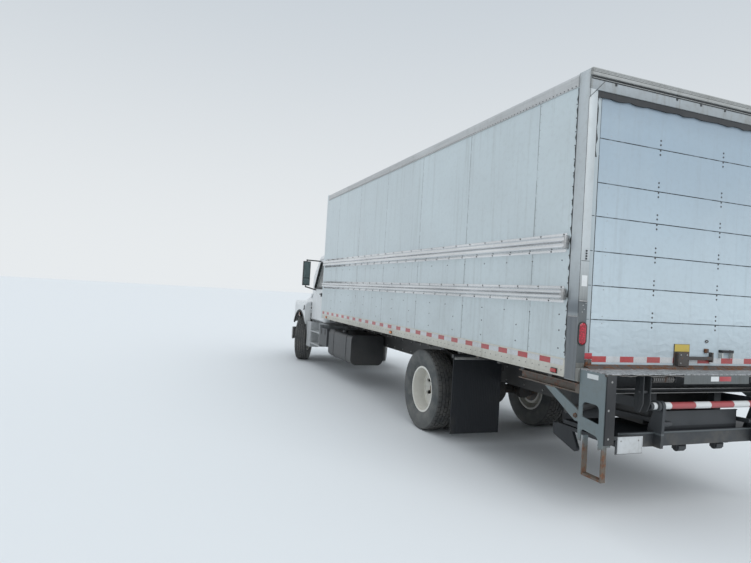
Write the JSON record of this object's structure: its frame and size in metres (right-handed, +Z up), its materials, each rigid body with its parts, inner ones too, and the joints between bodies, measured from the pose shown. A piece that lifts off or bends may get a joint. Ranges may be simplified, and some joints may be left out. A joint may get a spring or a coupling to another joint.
{
  "type": "box truck",
  "caption": "Medium box truck: conventional tilting-hood cab, long dry-freight body with rub rails and roll-up door, dual rear wheels and a folded tuck-under lift gate.",
  "frame": {"origin": "on the ground, midway between the front bumper and the lift gate deck edge, on the centre line", "axes": "+X forward, +Y to the left side, +Z up"},
  "size_m": [11.261, 2.84, 3.7498],
  "materials": {
    "wall_paint": "satin",
    "rail_cream": "satin",
    "bright_rail": "brushed",
    "portal_steel": "brushed",
    "door_paint": "satin",
    "floor_wood": "matt",
    "chassis_black": "satin",
    "cast_grey": "matt",
    "cab_white": "gloss",
    "hood_white": "gloss",
    "trim_black": "matt",
    "seat_cloth": "woven",
    "window": "clear",
    "lamp_red": "gloss",
    "lamp_clear": "gloss",
    "bumper_steel": "satin",
    "rim_white": "satin",
    "tyre": "matt",
    "tank_black": "satin",
    "box_grey": "satin",
    "exhaust_steel": "matt",
    "rubber": "matt",
    "gate_grey": "satin",
    "tread_plate": "rough",
    "platform_dark": "satin",
    "rod_chrome": "polished"
  },
  "bodies": {
    "root": {"side_walls": "wall_paint", "bottom_rails": "rail_cream", "top_rails": "bright_rail", "front_wall": "wall_paint", "roof": "bright_rail", "body_floor": "floor_wood", "rear_portal": "portal_steel", "roll_door": "door_paint", "door_latch": "cast_grey", "rub_rails": "bright_rail", "tail_lamps": "lamp_red", "chassis_frame": "chassis_black", "front_axle_beam": "cast_grey", "leaf_springs": "cast_grey", "rear_axle": "cast_grey", "drive_shaft": "chassis_black", "engine_block": "cast_grey", "radiator": "trim_black", "fuel_tank": "tank_black", "battery_box": "box_grey", "exhaust": "exhaust_steel", "air_tanks": "chassis_black", "mud_flaps": "rubber", "cab_shell": "cab_white", "cab_glass": "window", "dashboard": "trim_black", "seats": "seat_cloth", "front_bumper": "bumper_steel", "cab_steps": "box_grey", "gate_side_plates": "gate_grey", "dock_bumpers": "rubber", "gate_extension": "tread_plate", "gate_frame": "gate_grey"},
    "knuckle_left": {"knuckle_left": "cast_grey"},
    "knuckle_right": {"knuckle_right": "cast_grey"},
    "tie_rod": {"tie_rod": "cast_grey"},
    "front_wheel_left": {"front_wheel_left": "rim_white", "front_tyre_left": "tyre"},
    "front_wheel_right": {"front_wheel_right": "rim_white", "front_tyre_right": "tyre"},
    "rear_wheels_left": {"rear_wheels_left": "rim_white", "rear_tyres_left": "tyre"},
    "rear_wheels_right": {"rear_wheels_right": "rim_white", "rear_tyres_right": "tyre"},
    "steering_wheel": {"steering_wheel": "trim_black"},
    "door_left": {"door_left": "cab_white", "door_glass_left": "window"},
    "door_right": {"door_right": "cab_white", "door_glass_right": "window"},
    "hood": {"hood": "hood_white", "grille": "trim_black", "headlamps": "lamp_clear"},
    "gate_arms": {"gate_arms": "gate_grey"},
    "gate_links": {"gate_links": "gate_grey"},
    "gate_platform": {"gate_platform": "platform_dark"},
    "gate_barrels": {"gate_barrels": "chassis_black"},
    "gate_rods": {"gate_rods": "rod_chrome"}
  },
  "joints": [
    {"name": "steer_left", "type": "hinge", "parent": "root", "child": "knuckle_left", "pos_m": [4.6145, 0.86, 0.525], "axis": [0, 0, 1], "range_deg": [-15, 65]},
    {"name": "steer_right", "type": "hinge", "parent": "root", "child": "knuckle_right", "pos_m": [4.6145, -0.86, 0.525], "axis": [0, 0, 1], "range_deg": [-15.5, 65.5]},
    {"name": "tie_rod_swing", "type": "hinge", "parent": "knuckle_left", "child": "tie_rod", "pos_m": [4.43324, 0.94452, 0.46], "axis": [0, 0, 1], "range_deg": [-65.5, 15.5]},
    {"name": "steering_wheel_turn", "type": "hinge", "parent": "root", "child": "steering_wheel", "pos_m": [3.8545, 0.48, 1.7], "axis": [-0.6691, 0, 0.7431], "range_deg": [-242, 1042]},
    {"name": "front_spin_left", "type": "hinge", "parent": "knuckle_left", "child": "front_wheel_left", "pos_m": [4.68635, 1.01407, 0.525], "axis": [0.4226, 0.9063, 0], "continuous": true},
    {"name": "front_spin_right", "type": "hinge", "parent": "knuckle_right", "child": "front_wheel_right", "pos_m": [4.54265, -1.01407, 0.525], "axis": [0.4226, 0.9063, 0], "continuous": true},
    {"name": "rear_spin_left", "type": "hinge", "parent": "root", "child": "rear_wheels_left", "pos_m": [-2.2855, 0.855, 0.525], "axis": [0, 1, 0], "continuous": true},
    {"name": "rear_spin_right", "type": "hinge", "parent": "root", "child": "rear_wheels_right", "pos_m": [-2.2855, -0.855, 0.525], "axis": [0, 1, 0], "continuous": true},
    {"name": "door_left_open", "type": "hinge", "parent": "root", "child": "door_left", "pos_m": [4.0665, 1.046, 1.38], "axis": [0, 0, -1], "range_deg": [0, 65]},
    {"name": "door_right_open", "type": "hinge", "parent": "root", "child": "door_right", "pos_m": [4.0665, -1.046, 1.38], "axis": [0, 0, 1], "range_deg": [0, 65]},
    {"name": "hood_tilt", "type": "hinge", "parent": "root", "child": "hood", "pos_m": [5.4645, 0, 0.68], "axis": [0, 1, 0], "range_deg": [0, 60]},
    {"name": "gate_lift", "type": "hinge", "parent": "root", "child": "gate_arms", "pos_m": [-4.7355, 0, 0.945], "axis": [0, -1, 0], "range_deg": [0, 32]},
    {"name": "gate_link_swing", "type": "hinge", "parent": "root", "child": "gate_links", "pos_m": [-4.7355, 0, 0.795], "axis": [0, -1, 0], "range_deg": [-0.5, 32.5]},
    {"name": "gate_level", "type": "hinge", "parent": "gate_arms", "child": "gate_platform", "pos_m": [-5.5805, 0, 0.983], "axis": [0, -1, 0], "range_deg": [-32.5, 0.5]},
    {"name": "gate_barrel_swing", "type": "hinge", "parent": "root", "child": "gate_barrels", "pos_m": [-4.4355, 0, 0.7], "axis": [0, 1, 0], "range_deg": [-15.5, 0.5]},
    {"name": "gate_rod_slide", "type": "slide", "parent": "gate_barrels", "child": "gate_rods", "axis": [-0.9381, 0, 0.3464], "range_m": [-0.105, 0.001]}
  ],
  "couplings": [
    {"joint": "steer_right", "follows": "steer_left", "ratio": 1},
    {"joint": "tie_rod_swing", "follows": "steer_left", "ratio": -1},
    {"joint": "steering_wheel_turn", "follows": "steer_left", "ratio": 16},
    {"joint": "gate_link_swing", "follows": "gate_lift", "ratio": 1},
    {"joint": "gate_level", "follows": "gate_lift", "ratio": -1},
    {"joint": "gate_barrel_swing", "follows": "gate_lift", "ratio": -0.4672},
    {"joint": "gate_rod_slide", "follows": "gate_lift", "m_per_rad": -0.1722}
  ]
}
